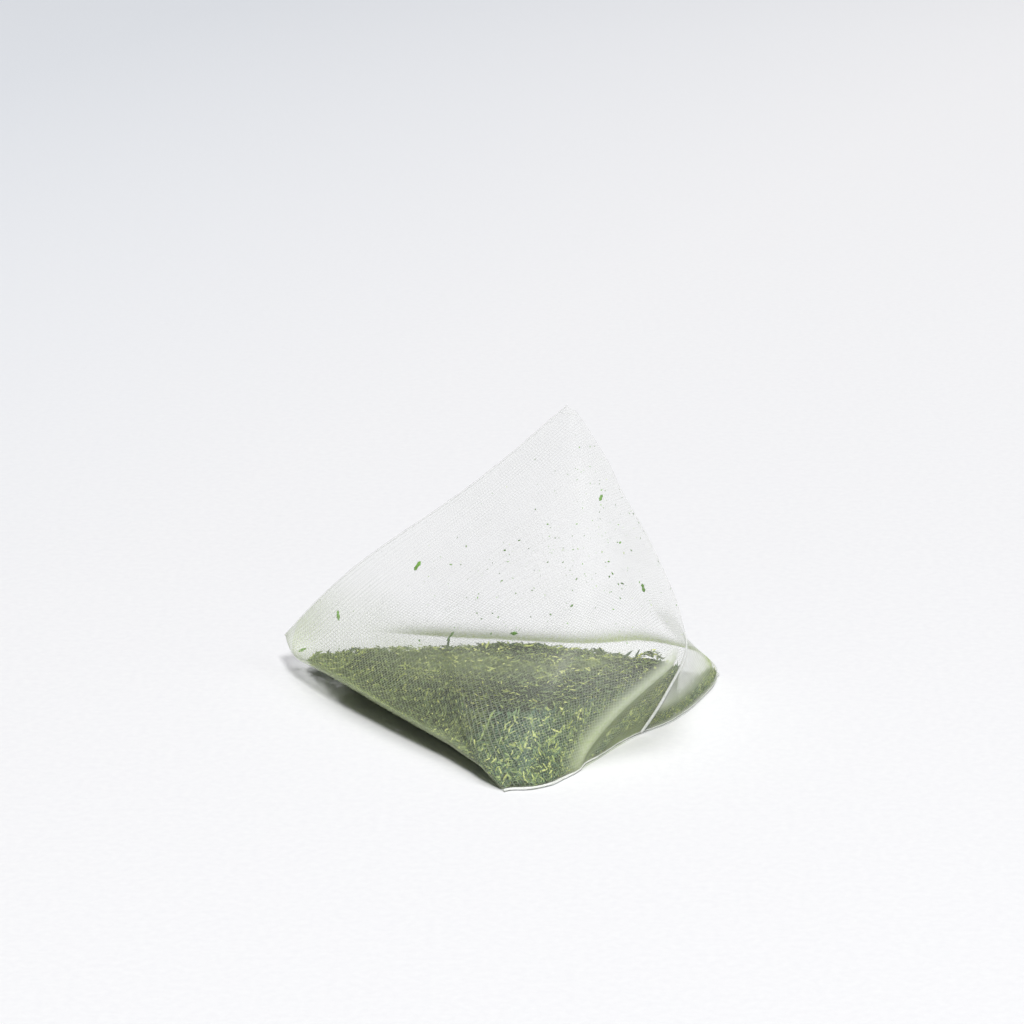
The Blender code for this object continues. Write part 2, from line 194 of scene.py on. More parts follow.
NORMALS = grid_normals(GRID)

# a ridge where the mesh stands off the leaf, from the bend down to the weld
UU, VV = np.meshgrid(US, VS)


def ridge_field(uu, vv):
    """Signed distance in mm across the ridge line, place along it and a fade."""
    s = (uu - 0.222) / 0.275
    line = 0.028 + np.where(s > 0, 0.243, 0.06) * s
    d = (vv - line) * TUBE_LENGTH * 0.766
    fade = smooth(-0.30, 0.10, s) * (1 - smooth(0.92, 1.04, s))
    return d, s, fade


rd, rs, rf = ridge_field(UU, VV)
GRID = GRID + NORMALS * (0.55 * rf * np.exp(-(rd / 1.3) ** 2))[..., None]
GRID = GRID - NORMALS * (0.35 * rf * np.exp(-((rd + 2.8) / 1.4) ** 2))[..., None]
# long soft undulations of the free cloth above the leaf
wave = (0.22 * np.sin(UU * 3 * np.pi + VV * 5.0) * np.sin(VV * 7.0 - UU * np.pi + 0.6)
        * np.sin(np.pi * VV) ** 1.2)
GRID = GRID + NORMALS * wave[..., None]
GRID[..., 2] = np.maximum(GRID[..., 2], 0.05)
NORMALS = grid_normals(GRID)


def surface_at(u, v):
    """Point and outward normal on the cloth, for arrays u and v."""
    u = np.mod(np.asarray(u, float), 2.0)
    v = np.clip(np.asarray(v, float), 0, 1)
    x = u / 2.0 * NU
    i = np.floor(x).astype(int) % NU
    k = (i + 1) % NU
    fx = (x - np.floor(x))[..., None]
    j = np.clip(np.searchsorted(VS, v, side="right") - 1, 0, NV - 1)
    fy = ((v - VS[j]) / (VS[j + 1] - VS[j]))[..., None]

    def mix(a):
        lo = a[j, i] * (1 - fx) + a[j, k] * fx
        hi = a[j + 1, i] * (1 - fx) + a[j + 1, k] * fx
        return lo * (1 - fy) + hi * fy

    n = mix(NORMALS)
    return mix(GRID), n / np.maximum(np.linalg.norm(n, axis=-1, keepdims=True), 1e-9)


# ------------------------------------------------------------ node helper ---
class Nodes:
    def __init__(self, name):
        self.mat = bpy.data.materials.new(name)
        self.mat.use_nodes = True
        self.tree = self.mat.node_tree
        self.tree.nodes.clear()
        self.out = self.tree.nodes.new("ShaderNodeOutputMaterial")

    def add(self, kind, **inputs):
        node = self.tree.nodes.new(kind)
        for key, value in inputs.items():
            if hasattr(node, key) and not key[0].isupper():
                setattr(node, key, value)
        return node

    def link(self, a, b):
        self.tree.links.new(a, b)

    def put(self, socket, value):
        if isinstance(value, bpy.types.NodeSocket):
            self.link(value, socket)
        else:
            socket.default_value = value

    def math(self, op, a, b=None, c=None, clamp=False):
        n = self.tree.nodes.new("ShaderNodeMath")
        n.operation = op
        n.use_clamp = clamp
        for s, v in zip(n.inputs, (a, b, c)):
            if v is not None:
                self.put(s, v)
        return n.outputs[0]

    def step(self, lo, hi, x, a=0.0, b=1.0):
        n = self.tree.nodes.new("ShaderNodeMapRange")
        n.interpolation_type = "SMOOTHSTEP"
        self.put(n.inputs["Value"], x)
        for key, val in (("From Min", lo), ("From Max", hi), ("To Min", a), ("To Max", b)):
            self.put(n.inputs[key], val)
        return n.outputs["Result"]

    def mix(self, f, a, b):
        n = self.tree.nodes.new("ShaderNodeMix")
        n.data_type = "RGBA"
        self.put(n.inputs["Factor"], f)
        self.put(n.inputs["A"], a)
        self.put(n.inputs["B"], b)
        return n.outputs["Result"]

    def attr(self, name):
        n = self.tree.nodes.new("ShaderNodeAttribute")
        n.attribute_name = name
        return n

    def noise(self, vector, scale, detail=2.0, rough=0.5):
        n = self.tree.nodes.new("ShaderNodeTexNoise")
        n.inputs["Scale"].default_value = scale
        n.inputs["Detail"].default_value = detail
        n.inputs["Roughness"].default_value = rough
        if vector is not None:
            self.link(vector, n.inputs["Vector"])
        return n.outputs["Fac"]

    def ramp(self, x, stops):
        n = self.tree.nodes.new("ShaderNodeValToRGB")
        cr = n.color_ramp
        while len(cr.elements) < len(stops):
            cr.elements.new(0.5)
        for e, (p, col) in zip(cr.elements, stops):
            e.position = p
            e.color = (*col, 1.0)
        self.link(x, n.inputs["Fac"])
        return n.outputs["Color"]


def lin(r, g, b):
    """sRGB 0..255 to linear."""
    out = []
    for c in (r, g, b):
        c /= 255.0
        out.append(c / 12.92 if c <= 0.04045 else ((c + 0.055) / 1.055) ** 2.4)
    return tuple(out)


# -------------------------------------------------------------- materials ---
PITCH = 0.42


def mesh_material():
    m = Nodes("woven_mesh")
    flat = m.attr("flat").outputs["Vector"]
    sep = m.tree.nodes.new("ShaderNodeSeparateXYZ")
    m.link(flat, sep.inputs[0])
    x, y = sep.outputs["X"], sep.outputs["Y"]
    k = 2 * math.pi / PITCH
    cx = m.math("COSINE", m.math("MULTIPLY", x, k))
    cy = m.math("COSINE", m.math("MULTIPLY", y, k))
    lo, hi = 0.45, 0.98
    warp = m.step(lo, hi, cx)
    weft = m.step(lo, hi, cy)
    thread = m.math("MAXIMUM", warp, weft)
    crisp = m.attr("crisp").outputs["Fac"]
    thread = m.math("MULTIPLY_ADD", m.math("SUBTRACT", thread, 0.44), crisp, 0.44)
    # the filament is glossier and whiter in some runs of the cloth than in others
    run = m.step(0.36, 0.68, m.noise(flat, 0.11, 2.0, 0.5), 0.18, 0.34)
    # slack runs in fine wavy lines where the weave is pulled out of true
    sway = m.math("MULTIPLY_ADD", m.noise(flat, 0.065, 1.0, 0.4), 26.0,
                  m.math("MULTIPLY", y, 2 * math.pi / 1.05))
    wave = m.math("MULTIPLY", m.math("SINE", sway), m.attr("slack").outputs["Fac"])
    run = m.math("MULTIPLY", run, m.math("MULTIPLY_ADD", wave, 0.62, 1.0))
    run = m.math("MULTIPLY", run, m.math("MULTIPLY_ADD", crisp, 0.85, 0.20))
    dust_and_highlight = m.attr("dust_and_highlight").outputs["Fac"]
    haze_and_highlight = m.attr("haze_and_highlight").outputs["Fac"]
    # thread crowns: each filament rises over its neighbour at every other crossing
    half = m.math("MULTIPLY", m.math("SINE", m.math("MULTIPLY", x, k / 2)),
                  m.math("SINE", m.math("MULTIPLY", y, k / 2)))
    crown = m.math("MULTIPLY_ADD", half, 0.5, 0.5)
    height = m.math("MULTIPLY", thread, crown)
    bump = m.tree.nodes.new("ShaderNodeBump")
    bump.inputs["Strength"].default_value = 0.25
    bump.inputs["Distance"].default_value = 0.00005
    m.link(height, bump.inputs["Height"])
    # dust of the leaf tints the cloth low down and along the folds, and the same tint colours the
    # painted highlight along the ridge
    clean = (*lin(250, 252, 250), 1.0)
    tint = (*lin(184, 204, 116), 1.0)
    grain = m.step(0.35, 0.75, m.noise(flat, 2.2, 3.0, 0.6))
    amount = m.math("MULTIPLY", dust_and_highlight, m.math("MULTIPLY_ADD", grain, 0.4, 0.8), clamp=True)
    colour = m.mix(amount, clean, tint)
    p = m.tree.nodes.new("ShaderNodeBsdfPrincipled")
    m.link(colour, p.inputs["Base Color"])
    p.inputs["Roughness"].default_value = 0.38
    p.inputs["IOR"].default_value = 1.5
    m.link(bump.outputs["Normal"], p.inputs["Normal"])
    tr = m.tree.nodes.new("ShaderNodeBsdfTranslucent")
    m.link(colour, tr.inputs["Color"])
    both = m.tree.nodes.new("ShaderNodeMixShader")
    both.inputs[0].default_value = 0.28
    m.link(p.outputs[0], both.inputs[1])
    m.link(tr.outputs[0], both.inputs[2])
    clear = m.tree.nodes.new("ShaderNodeBsdfTransparent")
    # a clear filament lets some of the ground through
    cover = m.math("MULTIPLY", thread, run)
    # the haze makes the cloth more opaque; along the ridge it also carries a painted highlight
    cover = m.math("ADD", cover, m.math("MULTIPLY", haze_and_highlight, m.math("SUBTRACT", 1.0, cover)), clamp=True)
    final = m.tree.nodes.new("ShaderNodeMixShader")
    m.link(cover, final.inputs[0])
    m.link(clear.outputs[0], final.inputs[1])
    m.link(both.outputs[0], final.inputs[2])
    m.link(final.outputs[0], m.out.inputs["Surface"])
    m.mat.use_backface_culling = False
    return m.mat


def weld_material(name, opacity):
    m = Nodes(name)
    co = m.tree.nodes.new("ShaderNodeTexCoord").outputs["Object"]
    n = m.noise(co, 2600.0, 3.0, 0.6)
    colour = m.ramp(n, [(0.3, lin(232, 236, 226)), (0.6, lin(252, 253, 252))])
    p = m.tree.nodes.new("ShaderNodeBsdfPrincipled")
    m.link(colour, p.inputs["Base Color"])
    p.inputs["Roughness"].default_value = 0.3
    bump = m.tree.nodes.new("ShaderNodeBump")
    bump.inputs["Strength"].default_value = 0.4
    bump.inputs["Distance"].default_value = 0.0001
    m.link(n, bump.inputs["Height"])
    m.link(bump.outputs["Normal"], p.inputs["Normal"])
    tr = m.tree.nodes.new("ShaderNodeBsdfTranslucent")
    m.link(colour, tr.inputs["Color"])
    both = m.tree.nodes.new("ShaderNodeMixShader")
    both.inputs[0].default_value = 0.1
    m.link(p.outputs[0], both.inputs[1])
    m.link(tr.outputs[0], both.inputs[2])
    clear = m.tree.nodes.new("ShaderNodeBsdfTransparent")
    final = m.tree.nodes.new("ShaderNodeMixShader")
    final.inputs[0].default_value = opacity
    m.link(clear.outputs[0], final.inputs[1])
    m.link(both.outputs[0], final.inputs[2])
    m.link(final.outputs[0], m.out.inputs["Surface"])
    return m.mat


def leaf_material(name, stops, rough=0.75, cool_stops=None):
    m = Nodes(name)
    t = m.attr("tint").outputs["Fac"]
    co = m.tree.nodes.new("ShaderNodeTexCoord").outputs["Object"]
    n = m.noise(co, 2200.0, 4.0, 0.6)
    x = m.math("ADD", t, m.math("MULTIPLY_ADD", n, 0.24, -0.12), clamp=True)
    colour = m.ramp(x, stops)
    if cool_stops:
        colour = m.mix(m.attr("cool").outputs["Fac"], colour, m.ramp(x, cool_stops))
    p = m.tree.nodes.new("ShaderNodeBsdfPrincipled")
    m.link(colour, p.inputs["Base Color"])
    p.inputs["Roughness"].default_value = rough
    bump = m.tree.nodes.new("ShaderNodeBump")
    bump.inputs["Strength"].default_value = 0.5
    bump.inputs["Distance"].default_value = 0.0001
    m.link(m.noise(co, 5200.0, 3.0, 0.6), bump.inputs["Height"])
    m.link(bump.outputs["Normal"], p.inputs["Normal"])
    m.link(p.outputs[0], m.out.inputs["Surface"])
    return m.mat


LEAF_STOPS = [(0.0, lin(46, 58, 36)), (0.26, lin(98, 113, 68)), (0.50, lin(144, 157, 94)),
              (0.76, lin(192, 202, 104)), (1.0, lin(236, 238, 150))]
COOL_STOPS = [(0.0, lin(26, 46, 44)), (0.26, lin(60, 88, 76)), (0.50, lin(98, 128, 100)),
              (0.76, lin(172, 194, 126)), (1.0, lin(224, 232, 150))]


# --------------------------------------------------------------- geometry ---
def mesh_object(name, verts, faces, mat, attrs=None, smooth_shade=True):
    me = bpy.data.meshes.new(name)
    verts = np.asarray(verts, float)
    me.from_pydata(verts.tolist(), [], faces if isinstance(faces, list) else faces.tolist())
    for key, (kind, data) in (attrs or {}).items():
        a = me.attributes.new(key, kind, "POINT")
        data = np.asarray(data, np.float32)
        if kind == "FLOAT_VECTOR":
            a.data.foreach_set("vector", data.ravel())
        else:
            a.data.foreach_set("value", data.ravel())
    me.materials.append(mat)
    me.update()
    if smooth_shade:
        me.shade_smooth()
    o = bpy.data.objects.new(name, me)
    bpy.context.scene.collection.objects.link(o)
    return o


def fold_distance(uu, vv):
    """Distance in mm above the rear lower fold, on the back wall."""
    return (1 + vv / 2 - uu) * TUBE_WIDTH


def dust_and_highlight_fields(uu, vv, z):
    uw = np.mod(uu, 2.0)
    s = fold_distance(uw, vv)
    # a band on the back wall is tinted and made more opaque, sharp at its lower edge
    edge = 5.85 + 0.75 * smooth(0.62, 0.86, vv) + 0.85 * (1 - smooth(0.14, 0.30, vv))
    back = (uw > 0.85) * (uw < 1.6) * smooth(0.02, 0.12, vv) * (1 - smooth(0.72, 0.90, vv))
    band = smooth(-0.15, 0.20, s - edge) * np.exp(-(np.clip(s - edge, 0, 99) / 2.1) ** 2) * back
    low = np.exp(-np.clip(z - 4.0, 0, 99) / 9.0)
    front = (uw < 0.53) | (uw > 1.55)
    un = np.where(uw > 1.5, uw - 2, uw)
    near = np.exp(-((un - 0.12) / 0.16) ** 2 - (vv / 0.20) ** 2)
    over = smooth(16.0, 11.0, z) * front
    dust_and_highlight = 0.10 + 0.40 * low * front + 0.95 * band
    haze_and_highlight = 0.045 + 0.09 * over * (1 - 0.8 * near) + 0.74 * band
    line = np.interp(un, (-0.30, -0.05, 0.11, 0.23, 0.35), (6.5, 10.1, 13.2, 14.0, 13.5))
    rim = np.exp(-((z - line) / 1.7) ** 2) * front * smooth(0.42, 0.28, un) * smooth(-0.28, -0.08, un)
    haze_and_highlight = haze_and_highlight + 0.22 * rim
    dust_and_highlight = dust_and_highlight + 0.25 * rim
    # where the ridge stands off the leaf the cloth reads pale: it is denser there seen edge-on, and
    # the pale stripe with its tint is also a painted highlight
    d, t, f = ridge_field(un, vv)
    t = np.clip(t, 0, 1)
    wide = np.where(d > 0, 1.7 - 0.6 * t, 1.2 - 0.5 * t)
    haze_and_highlight = haze_and_highlight + f * np.exp(-(d / wide) ** 2) * (0.74 + 0.06 * t)
    haze_and_highlight = haze_and_highlight + 0.06 * smooth(0.18, 0.26, un) * smooth(0.56, 0.50, un) * smooth(13.0, 10.0, z)
    dust_and_highlight = dust_and_highlight + 0.12 * f * np.exp(-(d / 1.6) ** 2)
    # below it the cloth is dusted, most of all near the weld
    haze_and_highlight = haze_and_highlight + 0.36 * f * np.exp(-((d + 2.0) / 1.5) ** 2)
    dust_and_highlight = dust_and_highlight + 0.20 * f * np.exp(-((d + 2.0) / 1.5) ** 2)
    foot = np.exp(-(vv / 0.045) ** 2) * smooth(0.30, 0.42, un) * smooth(0.56, 0.50, un)
    haze_and_highlight = haze_and_highlight + 0.36 * foot
    dust_and_highlight = dust_and_highlight + 0.25 * foot
    # a thin even dusting over the left end
    left = smooth(0.0, -0.30, un) * smooth(-0.56, -0.42, un) * smooth(17.0, 6.0, z)
    haze_and_highlight = haze_and_highlight + 0.08 * left
    dust_and_highlight = dust_and_highlight + 0.12 * left
    # the rear pocket is dusted through above the leaf
    ear = smooth(0.535, 0.56, uw) * (1 - smooth(-0.02, 0.02, uw - 1 + vv / 2))
    ear = ear * (1 - smooth(0.22, 0.32, vv)) * (1 - smooth(10.0, 14.0, z))
    seam = np.exp(-((uw - 0.55) / 0.06) ** 2) * smooth(2.5, 4.5, z)
    haze_and_highlight = haze_and_highlight + ear * (0.12 + 0.46 * smooth(1.9, 4.0, z) * (1 - 0.62 * smooth(4.4, 7.4, z))
                         + 0.30 * smooth(1.2, 0.4, z) + 0.26 * seam)
    dust_and_highlight = dust_and_highlight + ear * (0.16 + 0.26 * smooth(5.5, 2.5, z))
    # the left lower fold, where both walls lie close together
    fold = np.exp(-(fold_gap(uw, 2 - vv / 2) * TUBE_WIDTH / 1.5) ** 2)
    haze_and_highlight = haze_and_highlight + 0.30 * fold * smooth(0.02, 0.12, vv)
    dust_and_highlight = dust_and_highlight + 0.08 * fold
    tip = smooth(0.90, 0.985, vv) * np.exp(-((uw - 1.5) / 0.16) ** 2)
    haze_and_highlight = haze_and_highlight + 0.20 * tip
    dust_and_highlight = dust_and_highlight + 0.14 * tip
    return np.clip(dust_and_highlight, 0, 1), np.clip(haze_and_highlight, 0, 0.9)


def build_bag(mat):
    # each ring carries one doubled point, so that the flat pattern is unbroken
    idx = np.concatenate([np.arange(NU), [0]])
    g = GRID[:, idx]
    u = np.concatenate([US, [2.0]])
    uu, vv = np.meshgrid(u, VS)
    n = NU + 1
    a = (np.arange(NV)[:, None] * n + np.arange(NU)[None, :]).ravel()
    quads = np.stack([a, a + 1, a + n + 1, a + n], 1)
    dust_and_highlight, haze_and_highlight = dust_and_highlight_fields(uu, vv, g[..., 2])
    un = np.where(uu > 1.5, uu - 2, uu)
    slack = np.exp(-((un - 0.08) / 0.34) ** 2) * np.exp(-((vv - 0.66) / 0.14) ** 2)
    # the weave reads clearly where leaf lies behind it and softly elsewhere
    crisp = 0.42 + 0.58 * smooth(17.0, 6.5, g[..., 2])
    flat = np.stack([uu * TUBE_WIDTH, vv * TUBE_LENGTH, np.zeros_like(uu)], -1)
    return mesh_object("mesh_cloth", g.reshape(-1, 3) * MM, quads, mat, {
        "flat": ("FLOAT_VECTOR", flat.reshape(-1, 3)),
        "crisp": ("FLOAT", crisp.ravel()),
        "slack": ("FLOAT", slack.ravel()),
        "dust_and_highlight": ("FLOAT", dust_and_highlight.ravel()),
        "haze_and_highlight": ("FLOAT", haze_and_highlight.ravel())})


def ribbon(name, path, out, half_w, half_t, mat, side=None):
    """A closed flattened bead along a path; out is the direction of its width."""
    path = np.asarray(path)
    tan = np.gradient(path, axis=0)
    tan /= np.linalg.norm(tan, axis=1, keepdims=True)
    out = out - (out * tan).sum(1, keepdims=True) * tan
    out /= np.linalg.norm(out, axis=1, keepdims=True)
    nor = np.cross(tan, out)
    k = 8
    verts = []
    ang = np.arange(k) / k * 2 * math.pi
    for p, o, nn, w, t in zip(path, out, nor, half_w, half_t):
        for a in ang:
            verts.append(p + o * math.cos(a) * w + nn * math.sin(a) * t)
    faces = []
    m = len(path)
    for j in range(m - 1):
        for i in range(k):
            q = (i + 1) % k
            faces.append((j * k + i, j * k + q, (j + 1) * k + q, (j + 1) * k + i))
    faces.append(tuple(range(k - 1, -1, -1)))
    faces.append(tuple((m - 1) * k + i for i in range(k)))
    return mesh_object(name, np.array(verts) * MM, faces, mat)


def noise1(x, seed):
    r = np.random.RandomState(seed)
    out = np.zeros_like(x)
    for f in (1.0, 2.3, 5.1, 11.7):
        out += np.sin(x * f + r.rand() * 6.28) / f ** 0.5
    return out / 2.2


def build_welds():
    welds = []
    strong = weld_material("weld_white", 0.92)
    soft = weld_material("weld_clear", 0.16)
    # base weld
    u = np.linspace(0.0, 1.0, 220)
    p, _ = surface_at(u, np.zeros_like(u))
    q, _ = surface_at(u, np.full_like(u, 0.05))
    q2, _ = surface_at(2 - u, np.full_like(u, 0.05))
    out = p - (q + q2) / 2
    p = p.copy()
    p[:, 2] = np.maximum(p[:, 2], 0.30) + 0.05 * noise1(u * 30, 4)
    wob = noise1(u * 40, 1)
    thin = 1 - 0.40 * smooth(0.12, 0.34, u) - 0.15 * smooth(0.50, 0.60, u)
    welds.append(ribbon("base_weld", p, out, (0.19 + 0.04 * wob) * thin,
                        (0.12 + 0.02 * wob) * thin, strong))
    # upper weld
    u = np.linspace(0.5, 1.5, 220)
    p, _ = surface_at(u, np.ones_like(u))
    q, _ = surface_at(u, np.full_like(u, 0.95))
    q2, _ = surface_at(1.0 - u + 2.0, np.full_like(u, 0.95))
    out = p - (q + q2) / 2
    wob = noise1(u * 40, 2)
    welds.append(ribbon("upper_weld", p, out, 0.16 + 0.03 * wob, 0.06 + 0.01 * wob, soft))
    # lengthwise joint: bright up to its bend, hardly seen above it
    for name, v0, v1, n, half, mat in (("long_joint_lower", 0.0, 0.315, 110, 0.37, strong),
                                       ("long_joint_upper", 0.320, 0.995, 170, 0.10, soft)):
        v = np.linspace(v0, v1, n)
        p, nn = surface_at(np.full_like(v, JOINT_U), v)
        a, _ = surface_at(np.full_like(v, JOINT_U - 0.01), v)
        b, _ = surface_at(np.full_like(v, JOINT_U + 0.01), v)
        end = 1 - 0.6 * smooth(0.24, 0.315, v) if mat is strong else 1.0
        wide = (half + 0.02 * noise1(v * 40, 3)) * end
        welds.append(ribbon(name, p + nn * 0.06, b - a, wide, 0.45 * wide, mat))
    return welds


def is_inside(point):
    """True where a line straight up from the point crosses the cloth an odd number
    of times."""
    count, q = 0, Vector(point)
    way = Vector((0.011, 0.017, 1.0)).normalized()
    while count < 12:
        loc, _, _, _ = bag_tree.ray_cast(q, way)
        if loc is None:
            break
        count += 1
        q = loc + way * 1e-3
    return count % 2 == 1


def keep_inside(centre, axis, length, margin):
    """Move needles in from the cloth until their ends clear it, and say which fit."""
    axis = axis / np.linalg.norm(axis, axis=1, keepdims=True)
    centre, length = centre.copy(), length.copy()
    good = np.ones(len(centre), bool)
    for i in range(len(centre)):
        for turn in range(4):
            worst, way = 0.0, None
            for t in (-0.5, 0.0, 0.5):
                q = centre[i] + axis[i] * (t * length[i])
                loc, nor, _, _ = bag_tree.find_nearest(Vector(q))
                need = margin[i] + (q - np.array(loc)).dot(np.array(nor))
                if need > worst:
                    worst, way = need, np.array(nor)
            if way is None:
                break
            centre[i] -= way * (worst + 0.02)
            if turn > 0:
                length[i] *= 0.75
        else:
            good[i] = False
        if good[i]:
            good[i] = all(is_inside(centre[i] + axis[i] * (t * length[i]))
                          for t in (-0.5, 0.0, 0.5))
    return centre, length, good


def slivers(name, centre, axis, normal, length, width, thick, tint, mat, curl, cool=None):
    """Many twisted, tapered leaf needles in one mesh, four rows of three points each."""
    if cool is None:
        cool = np.zeros(len(centre))
    centre, length, good = keep_inside(centre, axis, length, 0.07 + thick / 2 + 0.04 * length)
    centre, axis, normal, length, width, thick, tint, curl, cool = (
        a[good] for a in (centre, axis, normal, length, width, thick, tint, curl, cool))
    n = len(centre)
    axis = axis / np.linalg.norm(axis, axis=1, keepdims=True)
    side = np.cross(normal, axis)
    side /= np.maximum(np.linalg.norm(side, axis=1, keepdims=True), 1e-9)
    up = np.cross(axis, side)
    stations = ((-0.5, 0.25), (-0.2, 1.0), (0.18, 0.85), (0.5, 0.12))
    k = 3
    verts = np.zeros((n, len(stations) * k, 3))
    twist = RNG.uniform(-1.2, 1.2, n)
    bend = curl
    for s, (t, w) in enumerate(stations):
        jit = RNG.uniform(0.75, 1.25, n)
        c = (centre + axis * (t * length)[:, None]
             + side * (bend * (t * t - 0.08) * length)[:, None]
             + up * (RNG.uniform(-0.06, 0.06, n) * length)[:, None])
        for i in range(k):
            a = 2 * math.pi * i / k + twist * t
            verts[:, s * k + i] = (c + side * (np.cos(a) * width / 2 * w * jit)[:, None]
                                   + up * (np.sin(a) * thick / 2 * w * jit)[:, None])
    base = []
    for s in range(len(stations) - 1):
        for i in range(k):
            q = (i + 1) % k
            base.append((s * k + i, s * k + q, (s + 1) * k + q, (s + 1) * k + i))
    caps = [(2, 1, 0), tuple((len(stations) - 1) * k + i for i in range(k))]
    per = len(stations) * k
    offs = (np.arange(n) * per)
    quads = (np.array(base)[None] + offs[:, None, None]).reshape(-1, 4).tolist()
    tris = (np.array(caps)[None] + offs[:, None, None]).reshape(-1, 3).tolist()
    return mesh_object(name, verts.reshape(-1, 3) * MM, quads + tris, mat,
                       {"tint": ("FLOAT", np.repeat(tint, per)),
                        "cool": ("FLOAT", np.repeat(cool, per))}, smooth_shade=False)


# ------------------------------------------------------------------- leaf ---
def pocket_share(x, y):
    """0 in the main body of the leaf, 1 in the rear pocket behind the joint."""
    return smooth(2.2, 5.4, (x - 22.5) * 0.8 + (y + 4.0) * 0.6)


def heap(x, y):
    """Height of the leaf heap: a crest from the left corner to the joint, a level
    top in front of it and a slope down to the back."""
    d = y - np.interp(x, CREST_X, CREST_Y)
    back = 0.46 * (np.sqrt(np.maximum(d, 0) ** 2 + 4.0) - 2.0)
    front = 0.012 * np.maximum(-d, 0) ** 1.4
    z = np.interp(x, CREST_X, CREST_Z) - back - front
    # the pocket behind the joint is nearly empty: a low drift lies along the weld
    pocket = pocket_share(x, y)
    drift = 3.1 * (1 - smooth(0.8, 3.2, (y + 3.5) * 0.44 - (x - 21.5) * 0.90))
    z = z + (drift - z) * pocket
    z = z + 0.16 * np.sin(1.7 * x + 0.6 * y) * np.cos(1.1 * y - 0.5 * x)
    z = z + 0.12 * np.sin(0.7 * x + 2.0) * np.cos(0.55 * y)
    return np.maximum(z, 1.0 - 0.65 * pocket)


bag_tree = BVHTree.FromPolygons(
    [Vector(p) for p in GRID.reshape(-1, 3)],
    [(j * NU + i, j * NU + (i + 1) % NU, (j + 1) * NU + (i + 1) % NU, (j + 1) * NU + i)
     for j in range(NV) for i in range(NU)])
CX, CY = 1.5, 6.5


def wall_distance(theta, z, gap):
    d = Vector((math.cos(theta), math.sin(theta), 0.0))
    hit, normal, _, dist = bag_tree.ray_cast(Vector((CX, CY, z)), d)
    if hit is None:
        return 4.0
    slope = max(abs(normal.dot(d)), 0.2)
    return max(min(dist - gap / slope, dist * 0.97), 2.0)


def build_core(mat):
    nt, ns, nd = 150, 12, 22
    gap = 0.9
    tops = []
    th = np.arange(nt) / nt * 2 * math.pi

    def reach(t, z):
        # the mass ends where the empty pocket behind the joint begins
        way = 0.8 * math.cos(t) + 0.6 * math.sin(t)
        away = (22.5 - CX) * 0.8 - (CY + 4.0) * 0.6 + 2.8
        # and short of the left corner, where the leaf thins out
        left = -0.86 * math.cos(t) + 0.51 * math.sin(t)
        return min(wall_distance(t, z, gap), away / way if way > 0.05 else 99.0,
                   23.0 / left if left > 0.05 else 99.0)

    for t in th:
        top = 3.0
        for _ in range(10):
            r = reach(t, max(top, 0.6))
            top += (float(heap(CX + r * math.cos(t), CY + r * math.sin(t))) - 0.5 - top) * 0.6
        tops.append(max(top, 0.8))
    side = []
    for s in range(ns + 1):
        row = []
        for i, t in enumerate(th):
            z = 0.45 + (tops[i] - 0.45) * s / ns
            r = reach(t, z)
            row.append((CX + r * math.cos(t), CY + r * math.sin(t), z))
        side.append(row)
    side = np.array(side)
    c = np.array((CX, CY))
    low = [np.concatenate([c + (side[0][:, :2] - c) * k / 6, np.full((nt, 1), 0.45)], 1)
           for k in range(1, 6)]
    high = []
    for k in range(nd - 1, 0, -1):
        f = k / nd
        xy = c + (side[-1][:, :2] - c) * f
        b = f ** 6
        z = np.maximum(heap(xy[:, 0], xy[:, 1]) - 0.5, 0.8) * (1 - b) + side[-1][:, 2] * b
        high.append(np.concatenate([xy, z[:, None]], 1))
    rows = low + list(side) + high
    verts = np.concatenate(rows)
    verts += RNG.normal(0, 0.06, verts.shape)
    m = len(rows)
    faces = []
    for j in range(m - 1):
        for i in range(nt):
            q = (i + 1) % nt
            faces.append((j * nt + i, j * nt + q, (j + 1) * nt + q, (j + 1) * nt + i))
    verts = np.concatenate([verts, [[CX, CY, 0.45]], [[CX, CY, float(heap(CX, CY)) - 0.5]]])
    b, t = m * nt, m * nt + 1
    for i in range(nt):
        q = (i + 1) % nt
        faces.append((q, i, b))
        faces.append(((m - 1) * nt + i, (m - 1) * nt + q, t))
    for i in range(len(verts)):
        loc, nor, _, _ = bag_tree.find_nearest(Vector(verts[i]))
        need = 0.5 + (verts[i] - np.array(loc)).dot(np.array(nor))
        if need > 0:
            verts[i] -= np.array(nor) * need
        roof = max(float(heap(verts[i, 0], verts[i, 1])) - 0.4, 0.5)
        verts[i, 2] = min(verts[i, 2], roof)
    tint = RNG.uniform(0.05, 0.35, len(verts))
    return mesh_object("leaf_core", verts * MM, faces, mat, {"tint": ("FLOAT", tint)})


def wall_samples(count, u_range, v_range, above):
    """Random places on the wall below the heap's line."""
    out_u, out_v = [], []
    while sum(len(a) for a in out_u) < count:
        u = RNG.uniform(*u_range, count * 2)
        v = RNG.uniform(*v_range, count * 2)
        p, _ = surface_at(u, v)
        lim = heap(p[:, 0], p[:, 1]) + above
        ok = (p[:, 2] < lim + RNG.normal(0, 0.25, len(u))) & (p[:, 2] > 0.3) & (lim > 0.95)
        out_u.append(u[ok])
        out_v.append(v[ok])
    return np.concatenate(out_u)[:count], np.concatenate(out_v)[:count]


def random_tangent(n, count, spread=math.pi):
    a = RNG.normal(size=(count, 3))
    a -= (a * n).sum(1, keepdims=True) * n
    return a / np.linalg.norm(a, axis=1, keepdims=True)


def tint_mix(count, light=0.17):
    t = np.clip(RNG.normal(0.30, 0.17, count), 0, 0.7)
    hi = RNG.rand(count) < light
    t[hi] = RNG.uniform(0.55, 1.0, hi.sum())
    return t


